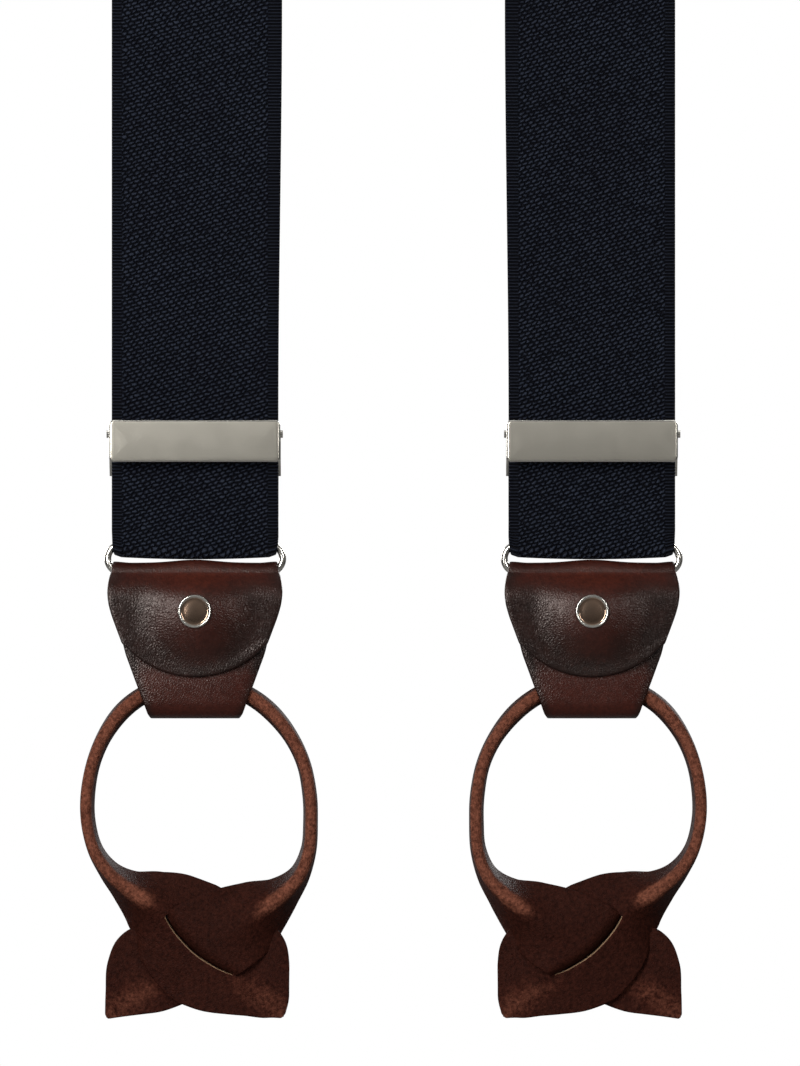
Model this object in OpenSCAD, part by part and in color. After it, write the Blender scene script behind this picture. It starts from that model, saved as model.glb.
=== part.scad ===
// Y-back suspenders, draped over a shoulder. Each of the three ends is a wire ring, a leather tab
// that snaps round it, and a leather runner with two crossed buttonhole ears.
// Origin: top of the drape, on the webbing's underside. -Y is the front, +Z is up.

/* [Webbing] */
// Width of the elastic webbing
web_w = 35; // [30:1:40]
// Thickness of the webbing
web_t = 1.2; // [1:0.1:1.3]
// Distance between the centre lines of the two front straps
strap_spacing = 85; // [80:1:110]

/* [Drape] */
// Inner radius of the webbing where it goes over the shoulder
shoulder_r = 44.4; // [40:0.2:60]
// Height of the drape above the middle of the front rings
front_drop = 530; // [420:5:600]
// Height of the drape above the middle of the back ring
back_drop = 295; // [290:5:330]

/* [Metal] */
// Diameter of the ring's wire
wire_d = 1.5; // [1.2:0.1:1.6]
// Height of the adjuster's front plate
plate_h = 9; // [8:0.5:10]
// Height of the adjuster's pivot above the middle of the ring
pivot_z = 26.65; // [26:0.05:28]
// Diameter of the press stud's cap
cap_d = 7.2; // [6:0.1:9]

/* [Leather] */
// Thickness of the leather
hide_t = 1.3; // [1:0.1:1.4]
// Length of the tab below the middle of the ring
tab_drop = 34.25; // [33:0.25:36]
// Width of a runner's ear
ear_w = 22; // [20:0.5:24]
// Length of a buttonhole
slit_l = 18; // [16:0.5:20]

/* [Hidden] */
ENDS = ["left", "right", "back"];
FRONT_PIECES = ["strap", "strap_lower", "webbing_fold", "webbing_return", "webbing_end",
    "webbing_end_stitching", "adjuster_frame", "adjuster_pin", "adjuster_lever"];
END_PIECES = ["ring", "tab", "flap", "snap_cap", "snap_socket", "snap_stud", "snap_post", "runner"];
BACK_PIECES = ["back_strap", "back_strap_stitching", "back_patch", "back_patch_lining",
    "back_patch_stitching"];

navy = [0.07, 0.08, 0.12];
thread = [0.10, 0.11, 0.15];
brown = [0.25, 0.12, 0.09];
nickel = [0.72, 0.71, 0.68];
$fn = 48;
clear = 0.1; // play between a wire and what is folded round it

// The two layers of webbing lie either side of the ring's bars
fold_r = wire_d / 2 + clear + web_t / 2 + 0.05;
shoulder_mid_r = shoulder_r + web_t / 2;
front_y = -shoulder_mid_r + fold_r;
back_y = shoulder_mid_r - fold_r;
web_face_y = -fold_r - web_t / 2;

// Ring: a flat oval of wire with half-round ends
ring_bar_z = 3;
ring_w = web_w + 4;
ring_bend_x = ring_w / 2 - wire_d / 2 - ring_bar_z;
ring_inner_w = 2 * ring_bend_x - 0.3;
neck_z = 4.4; // webbing and leather keep inside the ring's bends up to here

// Adjuster, from the middle of the ring
pivot_y = -4.9;
pin_r = 0.5;
knuckle_r = 1.15;
plate_t = 0.9;
plate_w = web_w + 1.6;
plate_top_z = pivot_z + 3;
plate_back_y = pivot_y - 1.05;
arm_x = web_w / 2 + 0.35;
arm_t = 0.5;
bar_y = 1.3;
bar_z = 18.5;
bar_r = 0.65;
end_bottom_z = 8.5;
end_y = -0.05; // middle of the layer of webbing between the strap and the end's tail
tail_y = 1.2; // middle of the tail that is sewn down behind it
tail_gap = 0.5; // how much shorter the tail is
travel = 45; // how far the fold can rise
strap_end_z = travel + 15; // lowest point of the webbing that never moves

// Tab
tab_half_w = web_w / 2 + 1.25;
tab_half_bottom = 9.6;
flap_r = 20;
flap_z = -4.9;
snap_z = -11.24;
layer_y = 2.85; // middle of the tab's back layer, and of the under-layer in front
flap_y = 5.75; // middle of the flap where it bulges over the press stud
rivet_r = 0.8;
wrap_r = wire_d / 2 + clear + hide_t / 2;
hinge_z = -3.2;
under_top_z = -6.5;

// Runner: the loop is an ellipse, and its top is an arc that slides through the tab
loop_a = 25.4;
loop_b = 30.7;
loop_z = -54.4;
band_t = 3.4;
band_depth = 10;
slide_r = 21;
slide_z = -44.7;
slide_band = 4.2;
slide_depth = 3.4;
ear_t = 1.4;
ear_tip_x = 19.2;
ear_tip_z = -97.6;
ear_root_x = 23.3;
ear_root_z = -61.5;
slit_w = 1.1;
slit_at = 0.555; // place of the buttonhole along the ear

// Back
patch_top_z = -196;
patch_bottom_z = -262;
patch_half_top = 38;
patch_half_bottom = 21;
join_z = -228;
strap_lean = 8.1;
stitch_l = 2.2;
stitch_pitch = 3.2;
stitch_t = 0.35;
stitch_w = 0.5;
stitch_inset = 2.5; // from the patch's edge
patch_t = 1.6;
lining_t = 1.2;
patch_corner_r = 6;
patch_foot_r = 5;

// ---- outlines -------------------------------------------------------------------------------

function arc(centre, r, from, to, steps = 10) =
    [for (i = [0:steps]) let (a = from + (to - from) * i / steps) centre + r * [cos(a), sin(a)]];

function heading(path, i) =
    let (step = path[min(i + 1, len(path) - 1)] - path[max(i - 1, 0)]) step / norm(step);

function beside(path, d) =
    [for (i = [0:len(path) - 1]) path[i] + d * [-heading(path, i)[1], heading(path, i)[0]]];

function reversed(list) = [for (i = [len(list) - 1:-1:0]) list[i]];

// A ribbon of even thickness along a path
function ribbon(path, t) = concat(beside(path, t / 2), reversed(beside(path, -t / 2)));

// A symmetrical outline from its right-hand half, which is listed from the top down
function both_sides(half) = concat(half, [for (p = reversed(half)) [-p[0], p[1]]]);

// A [y, z] outline extruded along X, and an [x, z] outline extruded along Y
module along_x(width) { rotate([90, 0, 90]) linear_extrude(width, center = true) children(); }

module along_y(from, to) { translate([0, to, 0]) rotate([90, 0, 0]) linear_extrude(to - from) children(); }

module bar_x(y, z, r, length) {
    translate([0, y, z]) rotate([0, 90, 0]) cylinder(h = length, r = r, center = true);
}

module disc_y(z, r, from, to) { translate([0, to, z]) rotate([90, 0, 0]) cylinder(h = to - from, r = r); }

// ---- places of the three ends ---------------------------------------------------------------

module at_end(end) {
    if (end == "left") translate([-strap_spacing / 2, front_y, -front_drop]) children();
    if (end == "right") translate([strap_spacing / 2, front_y, -front_drop]) mirror([1, 0, 0]) children();
    if (end == "back") translate([0, back_y, -back_drop]) rotate([0, 0, 180]) children();
}

// ---- webbing --------------------------------------------------------------------------------

// Over the shoulder and down to the patch, in one width
module strap(end) {
    side = end == "left" ? -1 : 1;
    lean_l = (-shoulder_r - join_z) / cos(strap_lean);
    overlap = 3;
    front_end_z = strap_end_z - front_drop;
    over = concat([[-shoulder_mid_r, front_end_z]],
        arc([0, -shoulder_r], shoulder_mid_r, 180, 0, 36));
    color(navy) {
        translate([side * strap_spacing / 2, 0, 0]) along_x(web_w) polygon(ribbon(over, web_t));
        intersection() {
            translate([side * strap_spacing / 2, shoulder_mid_r, -shoulder_r])
                rotate([0, side * strap_lean, 0])
                    translate([-web_w / 2, -web_t / 2, -lean_l]) cube([web_w, web_t, lean_l + overlap]);
            translate([side > 0 ? clear / 2 : -100 - clear / 2, 0, -400]) cube([100, 100, 400]);
        }
    }
}

// The webbing between the fixed strap and the fold, which shortens as the fold rises
module strap_lower(end) {
    color(navy) at_end(end)
        translate([-web_w / 2, web_face_y, neck_z]) cube([web_w, web_t, strap_end_z - neck_z]);
}

module webbing_fold(end) {
    path = concat([[-fold_r, neck_z]], arc([0, ring_bar_z], fold_r, 180, 360), [[fold_r, neck_z]]);
    color(navy) at_end(end) along_x(ring_inner_w) polygon(ribbon(path, web_t));
}

// From the fold up to the adjuster, behind the strap
module webbing_return(end) {
    gap = 0.03;
    color(navy) at_end(end) intersection() {
        along_x(web_w) polygon(ribbon([[fold_r, neck_z - 1], [fold_r, neck_z], [end_y, end_bottom_z],
            [end_y, end_bottom_z + 1]], web_t));
        translate([-web_w, -5, neck_z + gap]) cube([2 * web_w, 10, end_bottom_z - neck_z - 2 * gap]);
    }
}

// The webbing's end, round the adjuster's lower bar and down again
module webbing_end(end) {
    turn_r = bar_r + clear + web_t / 2;
    path = concat([[end_y, end_bottom_z]], arc([bar_y, bar_z], turn_r, 180, 0),
        [[tail_y, bar_z - 3.5], [tail_y, end_bottom_z + tail_gap]]);
    color(navy) at_end(end) along_x(web_w) polygon(ribbon(path, web_t));
}

// Two rows of thread on the back of the webbing's end
module webbing_end_stitching(end) {
    rows = [end_bottom_z + 1.5, end_bottom_z + 4.5];
    color(thread) at_end(end) for (z = rows) for (i = [-4:4])
        translate([i * stitch_pitch - stitch_l / 2, tail_y + web_t / 2, z])
            cube([stitch_l, stitch_t, stitch_w]);
}

// ---- adjuster -------------------------------------------------------------------------------

module adjuster_frame(end) {
    head_r = 0.9;
    arm = [[pivot_y, pivot_z + head_r], [0.1, pivot_z + head_r], [0.1, 21.2], [bar_y + 0.9, bar_z + 0.6],
        [bar_y + 0.9, bar_z - 0.6], [bar_y - 0.7, bar_z - 0.8], [-1.6, 20.6], [pivot_y, pivot_z - head_r]];
    color(nickel) at_end(end) {
        for (side = [-1, 1]) translate([side * (arm_x + arm_t / 2), 0, 0]) difference() {
            union() {
                along_x(arm_t) polygon(arm);
                bar_x(pivot_y, pivot_z, head_r, arm_t);
            }
            bar_x(pivot_y, pivot_z, pin_r, arm_t + 1);
        }
        translate([-arm_x - arm_t / 2, -0.75, 21.6]) cube([2 * arm_x + arm_t, 0.7, 5.6]);
        bar_x(bar_y, bar_z, bar_r, 2 * arm_x + arm_t);
    }
}

module adjuster_pin(end) {
    head_x = arm_x + arm_t;
    color(nickel) at_end(end) {
        bar_x(pivot_y, pivot_z, pin_r, 2 * head_x);
        for (side = [-1, 1]) translate([side * (head_x + 0.25), 0, 0]) bar_x(pivot_y, pivot_z, 0.8, 0.5);
    }
}

// Front plate, a knuckle round the pin, and a toothed flange that presses on the webbing
module adjuster_lever(end) {
    inner_w = web_w - 0.4;
    flange_z = plate_top_z - 5.6;
    flange_y = -2.9;
    flange_t = 0.7;
    tooth_pitch = 2;
    corner = 0.7;
    x = plate_w / 2 - corner;
    top = plate_top_z - corner;
    bottom = plate_top_z - plate_h + corner;
    face = concat(arc([x, top], corner, 90, 0, 4), arc([x, bottom], corner, 0, -90, 4));
    color(nickel) at_end(end) {
        along_y(plate_back_y - plate_t, plate_back_y) polygon(both_sides(face));
        difference() {
            bar_x(pivot_y, pivot_z, knuckle_r, inner_w);
            bar_x(pivot_y, pivot_z, pin_r + 0.05, inner_w + 1);
        }
        translate([-inner_w / 2, plate_back_y - 0.1, flange_z])
            cube([inner_w, flange_y - plate_back_y + 0.1, flange_t]);
        for (i = [-8:8]) translate([i * tooth_pitch, flange_y, flange_z]) linear_extrude(flange_t)
            polygon([[-0.6, -0.1], [0.6, -0.1], [0, 0.6]]);
    }
}

// ---- ring -----------------------------------------------------------------------------------

module ring(end) {
    color(nickel) at_end(end) {
        for (z = [-ring_bar_z, ring_bar_z]) bar_x(0, z, wire_d / 2, 2 * ring_bend_x);
        for (side = [0, 1]) mirror([side, 0, 0]) translate([ring_bend_x, 0, 0])
            rotate([90, 0, 0]) rotate([0, 0, -90]) rotate_extrude(angle = 180) translate([ring_bar_z, 0]) circle(wire_d / 2);
    }
}

// ---- leather tab and flap -------------------------------------------------------------------

// The tab's outline, seen from the front: narrow over the ring, widest just below it, then tapering
function tab_outline() = both_sides([[ring_inner_w / 2, 0], [ring_inner_w / 2, -neck_z], [tab_half_w, -5.4],
    [tab_half_w, -8], [16.6 / 17.5 * web_w / 2, -15.3], [tab_half_bottom, -tab_drop]]);

// The back layer, the fold at the bottom and the under-layer that comes up behind the flap
module tab(end) {
    turn_z = layer_y + hide_t / 2 - tab_drop;
    path = concat([[wrap_r, hinge_z - 0.8], [layer_y - 0.5, -12], [layer_y, -20]],
        arc([0, turn_z], layer_y, 0, -180),
        [[-layer_y, under_top_z]]);
    color(brown) at_end(end) difference() {
        intersection() {
            along_x(2 * tab_half_w + 1) polygon(ribbon(path, hide_t));
            along_y(-10, 10) polygon(tab_outline());
        }
        disc_y(snap_z, rivet_r, -layer_y - hide_t, 0);
    }
}

// Over the ring's lower bar and down the front, bulging over the press stud
module flap(end) {
    path = concat([[wrap_r, hinge_z]], arc([0, -ring_bar_z], wrap_r, 0, 180), [[-2.4, -4.6], [-4.2, -6.2],
        [-flap_y, -8], [-flap_y, -14.8], [-4.9, -18], [-4.35, -21.5], [-4.35, -26]]);
    color(brown) at_end(end) difference() {
        intersection() {
            along_x(2 * tab_half_w + 1) polygon(ribbon(path, hide_t));
            along_y(-10, 10) polygon(tab_outline());
            disc_y(flap_z, flap_r, -10, 10);
        }
        disc_y(snap_z, rivet_r, -flap_y - hide_t, -flap_y + hide_t);
    }
}

// The cap's shank goes through the flap into the socket, and the post's through the tab into the stud
module snap_cap(end) {
    face_y = -flap_y - hide_t / 2;
    color(nickel) at_end(end) {
        difference() {
            disc_y(snap_z, cap_d / 2, face_y - 0.9, face_y);
            disc_y(snap_z, cap_d / 2 - 0.6, face_y - 1, face_y - 0.6);
        }
        disc_y(snap_z, rivet_r, face_y - 0.1, face_y + hide_t);
    }
}

module snap_socket(end) {
    face_y = -flap_y + hide_t / 2;
    color(nickel) at_end(end) difference() {
        disc_y(snap_z, 3, face_y, -layer_y - 1);
        disc_y(snap_z, 2.1, face_y + 0.3, 0);
    }
}

module snap_stud(end) {
    face_y = -layer_y - hide_t / 2;
    color(nickel) at_end(end) {
        disc_y(snap_z, 2.9, face_y - 0.2, face_y);
        disc_y(snap_z, 1.35, face_y - 1.1, face_y - 0.1);
    }
}

module snap_post(end) {
    face_y = -layer_y + hide_t / 2;
    color(nickel) at_end(end) {
        disc_y(snap_z, 2.9, face_y, face_y + 0.3);
        disc_y(snap_z, rivet_r, face_y - hide_t, face_y + 0.1);
    }
}

// ---- runner ---------------------------------------------------------------------------------

function ellipse(a, b, z, from, to, steps = 40) =
    [for (i = [0:steps]) let (t = from + (to - from) * i / steps) [a * cos(t), z + b * sin(t)]];

// A leaf with two pointed ends, from its root to its tip, in the plane of the ears
module leaf(from, to, width) {
    length = norm(to - from);
    r = (length * length / 4 + width * width / 4) / width;
    turn = atan2(to[1] - from[1], to[0] - from[0]);
    translate((from + to) / 2) rotate(turn) intersection() {
        translate([0, width / 2 - r]) circle(r, $fn = 160);
        translate([0, r - width / 2]) circle(r, $fn = 160);
    }
}

// The buttonhole of an ear, as a flat outline along the ear's crease
module slit(from, to, width, length) {
    turn = atan2(to[1] - from[1], to[0] - from[0]);
    translate(from + slit_at * (to - from)) rotate(turn) square([length, width], center = true);
}

module runner(end) {
    root = [ear_root_x, ear_root_z];
    tip = [ear_tip_x, ear_tip_z];
    under_from = [-root[0], root[1]];
    under_to = tip;
    over_from = root;
    over_to = [-tip[0], tip[1]];
    color(brown) at_end(end) {
        // the part of the loop that slides through the tab, thin enough to pass between its layers
        intersection() {
            difference() {
                translate([0, 0, slide_z]) rotate([90, 0, 0])
                    cylinder(h = slide_depth, r = slide_r, center = true, $fn = 120);
                translate([0, 0, slide_z]) rotate([90, 0, 0])
                    cylinder(h = slide_depth + 1, r = slide_r - slide_band, center = true, $fn = 120);
            }
            translate([-18, -5, -36]) cube([36, 10, 20]);
        }
        // the sides of the loop, where the folded strap stands edge on
        difference() {
            along_y(-band_depth / 2, band_depth / 2) polygon(concat(
                ellipse(loop_a, loop_b, loop_z, -24, 204),
                reversed(ellipse(loop_a - band_t, loop_b - band_t, loop_z, -24, 204))));
            translate([-16, -10, -36]) cube([32, 20, 20]);
        }
        // the ear behind, with its buttonhole
        along_y(clear, clear + ear_t) difference() {
            leaf(under_from, under_to, ear_w);
            slit(under_from, under_to, slit_w, slit_l);
        }
        // the ear in front, down to the other's buttonhole
        along_y(-ear_t - clear, -clear) intersection() {
            leaf(over_from, over_to, ear_w);
            front_side(under_from, under_to);
        }
        // through the buttonhole
        along_y(-ear_t - clear, 2 * ear_t + 2 * clear) intersection() {
            slit(under_from, under_to, slit_w - 0.3, slit_l - 0.6);
            leaf(over_from, over_to, ear_w);
        }
        // and out behind
        along_y(ear_t + 2 * clear, 2 * ear_t + 2 * clear) difference() {
            leaf(over_from, over_to, ear_w);
            front_side(under_from, under_to);
            slit(over_from, over_to, slit_w, slit_l);
        }
    }
}

// Everything above the line that the buttonhole lies on
module front_side(from, to) {
    turn = atan2(to[1] - from[1], to[0] - from[0]);
    translate(from + slit_at * (to - from)) rotate(turn)
        translate([-60, -(slit_w - 0.3) / 2]) square([120, 80]);
}

// ---- back -----------------------------------------------------------------------------------

function patch_half(half_top, half_bottom, in) = concat(
    arc([half_top - patch_corner_r, patch_top_z - patch_corner_r], patch_corner_r - in, 90, 0, 6),
    arc([half_top - patch_corner_r, patch_top_z - 22], patch_corner_r - in, 0, -40, 4),
    arc([half_bottom - patch_foot_r, patch_bottom_z + patch_foot_r], patch_foot_r - in, -30, -90, 6));

module patch_plate(from, to) {
    color(brown) along_y(from, to) polygon(both_sides(patch_half(patch_half_top, patch_half_bottom, 0)));
}

module back_patch() { patch_plate(shoulder_mid_r + web_t / 2, shoulder_mid_r + web_t / 2 + patch_t); }

module back_patch_lining() { patch_plate(shoulder_mid_r - web_t / 2 - lining_t, shoulder_mid_r - web_t / 2); }

// Stitches that follow the patch's edge
module back_patch_stitching() {
    half = patch_half(patch_half_top, patch_half_bottom, stitch_inset);
    loop = both_sides(half);
    color(thread) for (i = [0:len(loop) - 1]) {
        a = loop[i];
        b = loop[(i + 1) % len(loop)];
        count = floor(norm(b - a) / stitch_pitch);
        if (count > 0) for (k = [0:count - 1]) let (at = a + (b - a) * (k + 0.5) / count)
            translate([at[0], shoulder_mid_r + web_t / 2 + patch_t, at[1]])
                rotate([0, -atan2(b[1] - a[1], b[0] - a[0]), 0])
                    translate([-stitch_l / 2, 0, -stitch_w / 2]) cube([stitch_l, stitch_t, stitch_w]);
    }
}

// The short strap below the patch, round the back ring and sewn to itself
module back_strap() {
    top_z = join_z - 2 + back_drop;
    path = concat([[-fold_r, top_z]], arc([0, ring_bar_z], fold_r, 180, 360),
        [[fold_r, 6], [-0.2, 14], [-0.2, 30]]);
    color(navy) at_end("back") intersection() {
        along_x(web_w) polygon(ribbon(path, web_t));
        along_y(-10, 10) polygon(both_sides([[web_w / 2, 100], [web_w / 2, neck_z], [ring_inner_w / 2, neck_z],
            [ring_inner_w / 2, 0]]));
    }
}

module back_strap_stitching() {
    color(thread) at_end("back") for (z = [17, 20, 26]) for (i = [-4:4])
        translate([i * stitch_pitch - stitch_l / 2, web_t / 2 - 0.2, z]) cube([stitch_l, stitch_t, stitch_w]);
}

// ---- nodes ----------------------------------------------------------------------------------

for (end = ["left", "right"]) {
    strap(end);
    strap_lower(end);
    webbing_fold(end);
    webbing_return(end);
    webbing_end(end);
    webbing_end_stitching(end);
    adjuster_frame(end);
    adjuster_pin(end);
    adjuster_lever(end);
}
for (end = ENDS) {
    ring(end);
    tab(end);
    flap(end);
    snap_cap(end);
    snap_socket(end);
    snap_stud(end);
    snap_post(end);
    runner(end);
}
back_strap();
back_strap_stitching();
back_patch();
back_patch_lining();
back_patch_stitching();
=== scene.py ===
"""The looks of the suspenders: webbing, leather, nickel and stitching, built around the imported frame.

Lengths inside the shape functions are millimetres, counted from the middle of an end's ring.
"""
import math

import bmesh
import bpy
import numpy as np
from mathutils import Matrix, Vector
from mathutils.kdtree import KDTree


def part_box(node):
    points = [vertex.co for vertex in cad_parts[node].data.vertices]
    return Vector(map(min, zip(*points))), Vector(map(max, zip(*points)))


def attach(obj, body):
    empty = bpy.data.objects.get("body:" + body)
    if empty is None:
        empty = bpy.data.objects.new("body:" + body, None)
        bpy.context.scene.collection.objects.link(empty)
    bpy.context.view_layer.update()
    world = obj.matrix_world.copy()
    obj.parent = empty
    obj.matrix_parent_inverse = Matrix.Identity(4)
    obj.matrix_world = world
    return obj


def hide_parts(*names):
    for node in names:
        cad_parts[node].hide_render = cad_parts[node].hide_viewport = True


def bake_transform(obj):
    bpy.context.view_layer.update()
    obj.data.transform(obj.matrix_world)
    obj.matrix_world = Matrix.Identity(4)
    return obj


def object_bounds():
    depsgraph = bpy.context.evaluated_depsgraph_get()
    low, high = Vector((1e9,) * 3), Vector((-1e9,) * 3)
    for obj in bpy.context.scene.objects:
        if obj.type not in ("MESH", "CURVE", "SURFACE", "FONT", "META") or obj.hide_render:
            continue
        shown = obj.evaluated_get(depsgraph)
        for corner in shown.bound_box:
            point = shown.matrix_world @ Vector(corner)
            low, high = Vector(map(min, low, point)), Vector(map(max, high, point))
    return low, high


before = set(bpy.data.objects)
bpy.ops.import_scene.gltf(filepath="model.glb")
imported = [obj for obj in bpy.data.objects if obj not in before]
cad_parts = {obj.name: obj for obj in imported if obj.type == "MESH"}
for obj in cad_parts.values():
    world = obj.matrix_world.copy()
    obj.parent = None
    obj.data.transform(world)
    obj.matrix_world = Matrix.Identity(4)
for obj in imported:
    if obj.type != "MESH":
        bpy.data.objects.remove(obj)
cad_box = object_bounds()

MM = 0.001
ENDS = ("left", "right", "back")
FRONTS = ("left", "right")
FLIP = {"left": (1, 1), "right": (-1, 1), "back": (-1, -1)}  # sign of x and of y

# Webbing
WEB_T = 1.2
WEB_HALF = 17.4  # from the middle to where the rounded edge starts
WEB_EDGE = 0.45
LAYER_Y = 1.5  # each layer of webbing from the ring's middle plane
ROW_STEP = 4.0
LEAN = math.tan(math.radians(8.1))  # how far the straps lean inwards down the back
EASE = 0.045  # share of the back's length over which that lean begins
# Ring
BAR_Z = 3.0
WIRE_R = 0.75
# Leather
HIDE_T = 1.3
SNAP_Z = -11.24


# ---- small maths ----------------------------------------------------------------------------

def unit(v):
    return v / np.maximum(np.linalg.norm(v, axis=-1, keepdims=True), 1e-9)


def smooth(t):
    t = np.clip(t, 0, 1)
    return t * t * (3 - 2 * t)


def bump_at(x, width):
    return np.exp(-(np.asarray(x) / width) ** 2)


def spline(points, count):
    """Evenly spaced points on a smooth curve through the given ones."""
    p = np.asarray(points, float)
    p = np.vstack([2 * p[0] - p[1], p, 2 * p[-1] - p[-2]])
    fine = []
    for i in range(1, len(p) - 2):
        for t in np.linspace(0, 1, 24, endpoint=False):
            a, b, c, d = p[i - 1], p[i], p[i + 1], p[i + 2]
            fine.append(0.5 * (2 * b + (c - a) * t + (2 * a - 5 * b + 4 * c - d) * t ** 2
                               + (3 * b - a - 3 * c + d) * t ** 3))
    fine.append(p[-2])
    fine = np.array(fine)
    s = np.concatenate([[0], np.cumsum(np.linalg.norm(np.diff(fine, axis=0), axis=1))])
    at = np.linspace(0, s[-1], count)
    return np.stack([np.interp(at, s, fine[:, k]) for k in range(p.shape[1])], axis=1)


def arc_points(centre, r, start, stop, count):
    a = np.radians(np.linspace(start, stop, count))
    return np.stack([centre[0] + r * np.cos(a), centre[1] + r * np.sin(a)], axis=1)


def resample(path, step):
    """The same polyline with a point about every step."""
    path = np.asarray(path, float)
    s = np.concatenate([[0], np.cumsum(np.linalg.norm(np.diff(path, axis=0), axis=1))])
    marks = [0.0]
    for a, b in zip(s[:-1], s[1:]):
        pieces = max(1, int(math.ceil((b - a) / step)))
        marks += list(a + (b - a) * np.arange(1, pieces + 1) / pieces)
    points = np.stack([np.interp(marks, s, path[:, k]) for k in range(path.shape[1])], axis=1)
    return points, np.array(marks)


# ---- placing and making meshes --------------------------------------------------------------

def ring_middle(end):
    low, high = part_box(f"ring_{end}")
    return (low + high) / 2


def to_world(end, points):
    """Local millimetres of one end to metres in the frame. end None means frame millimetres."""
    points = np.asarray(points, float) * MM
    if end is None:
        return points
    sx, sy = FLIP[end]
    return points * np.array([sx, sy, 1.0]) + np.array(ring_middle(end))


def mesh_object(name, verts, faces, material, smooth_faces=True):
    mesh = bpy.data.meshes.new(name)
    mesh.from_pydata([tuple(v) for v in verts], [], faces)
    work = bmesh.new()
    work.from_mesh(mesh)
    bmesh.ops.remove_doubles(work, verts=work.verts, dist=1e-7)
    bmesh.ops.dissolve_degenerate(work, edges=work.edges, dist=1e-7)
    bmesh.ops.recalc_face_normals(work, faces=work.faces)
    for face in work.faces:
        face.smooth = smooth_faces
    work.to_mesh(mesh)
    work.free()
    mesh.materials.append(material)
    obj = bpy.data.objects.new(name, mesh)
    bpy.context.scene.collection.objects.link(obj)
    return obj


def band(rings, count, start=0, capped=False):
    """Faces that join each ring of count points to the next. capped closes both ends too."""
    faces = []
    for i in range(rings - 1):
        a, b = start + i * count, start + (i + 1) * count
        for k in range(count):
            m = (k + 1) % count
            faces.append((a + k, a + m, b + m, b + k))
    if capped:
        last = start + (rings - 1) * count
        faces += [tuple(range(start, start + count)), tuple(range(last, last + count))]
    return faces


def shell_data(grid, thickness, edge, steps=3, power=0.7):
    """Vertices and faces of a closed sheet around a grid of points, and each vertex's grid place."""
    grid = np.asarray(grid, float)
    rows, cols = grid.shape[:2]
    half = np.broadcast_to(np.asarray(thickness, float) / 2, (rows, cols))
    along = unit(np.gradient(grid, axis=0))
    across = unit(np.gradient(grid, axis=1))
    normal = unit(np.cross(across, along))

    def past_end(k):
        """How far a ring of points lies past the sheet's end, and its share of the thickness."""
        turn = math.pi / 2 * k / steps
        return edge * math.sin(turn) ** power, math.cos(turn) ** power if k < steps else 0.0

    rounding = [past_end(k) for k in range(1, steps + 1)]
    plan = [(0, -reach, share) for reach, share in rounding[::-1]]
    plan += [(r, 0.0, 1.0) for r in range(rows)]
    plan += [(rows - 1, reach, share) for reach, share in rounding]
    verts, places = [], []
    for r, shift, f in plan:
        base = grid[r] + along[r] * shift
        lift = normal[r] * (half[r] * f)[:, None]
        verts += list(base + lift)
        places += [(r, c) for c in range(cols)]
        for side, c in ((1, cols - 1), (-1, 0)):
            for j in range(1, 2 * steps):
                turn = math.pi * j / (2 * steps)
                turn = turn if side > 0 else math.pi - turn
                up = math.copysign(abs(math.cos(turn)) ** power, math.cos(turn))
                out = math.sin(turn) ** power
                rise = normal[r, c] * half[r, c] * f * up
                verts.append(base[c] + rise + across[r, c] * side * edge * f * out)
                places.append((r, c))
            if side > 0:
                verts += list((base - lift)[::-1])
                places += [(r, c2) for c2 in range(cols - 1, -1, -1)]
    loop = 2 * cols + 2 * (2 * steps - 1)
    return np.array(verts), band(len(plan), loop), places


def set_field(obj, name, values):
    layer = obj.data.attributes.new(name, "FLOAT", "POINT")
    layer.data.foreach_set("value", np.asarray(values, np.float32))


def shell(name, end, grid, thickness, material, edge=0.3, fields=None):
    """A closed sheet with rounded edges. fields are named numbers on the grid, kept on the mesh."""
    verts, faces, places = shell_data(grid, thickness, edge)
    world = to_world(end, verts)
    obj = mesh_object(name, world, faces, material)
    if fields:
        keys = {tuple(np.round(v, 7)): p for v, p in zip(world, places)}
        found = [keys.get(tuple(np.round(np.array(v.co, float), 7))) for v in obj.data.vertices]
        if any(f is None for f in found):
            found = [places[i] for i in nearest(world, obj)]
        for key, values in fields.items():
            values = np.asarray(values, float)
            set_field(obj, key, [values[f] for f in found])
    return obj


def nearest(world, obj):
    """For each vertex of the mesh, the index of the closest of the given points."""
    tree = KDTree(len(world))
    for i, p in enumerate(world):
        tree.insert(Vector(p), i)
    tree.balance()
    return [tree.find(v.co)[1] for v in obj.data.vertices]


def lathe(name, end, profile, material, count=64):
    """A turned piece about the Y axis through the press stud. profile is (radius, y) from the front."""
    verts = []
    for r, y in profile:
        for a in np.linspace(0, 2 * math.pi, count, endpoint=False):
            verts.append((r * math.cos(a), y, SNAP_Z + r * math.sin(a)))
    return mesh_object(name, to_world(end, verts), band(len(profile), count), material)


def closed_tube(name, end, path, radius, material, sides=20):
    """A round wire along a closed path of points."""
    path = np.asarray(path, float)
    rows = len(path)
    heading = unit(np.roll(path, -1, axis=0) - np.roll(path, 1, axis=0))
    side = unit(np.cross(heading, np.array([0.0, 1.0, 0.0])))
    up = unit(np.cross(side, heading))
    verts = []
    for i in range(rows):
        for a in np.linspace(0, 2 * math.pi, sides, endpoint=False):
            verts.append(path[i] + radius * (side[i] * math.cos(a) + up[i] * math.sin(a)))
    faces = [tuple(v % len(verts) for v in face) for face in band(rows + 1, sides)]
    return mesh_object(name, to_world(end, verts), faces, material)


def box_data(low, high):
    x0, y0, z0 = low
    x1, y1, z1 = high
    verts = [(x, y, z) for x in (x0, x1) for y in (y0, y1) for z in (z0, z1)]
    faces = [(0, 1, 3, 2), (4, 6, 7, 5), (0, 4, 5, 1), (2, 3, 7, 6), (0, 2, 6, 4), (1, 5, 7, 3)]
    return verts, faces


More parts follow.
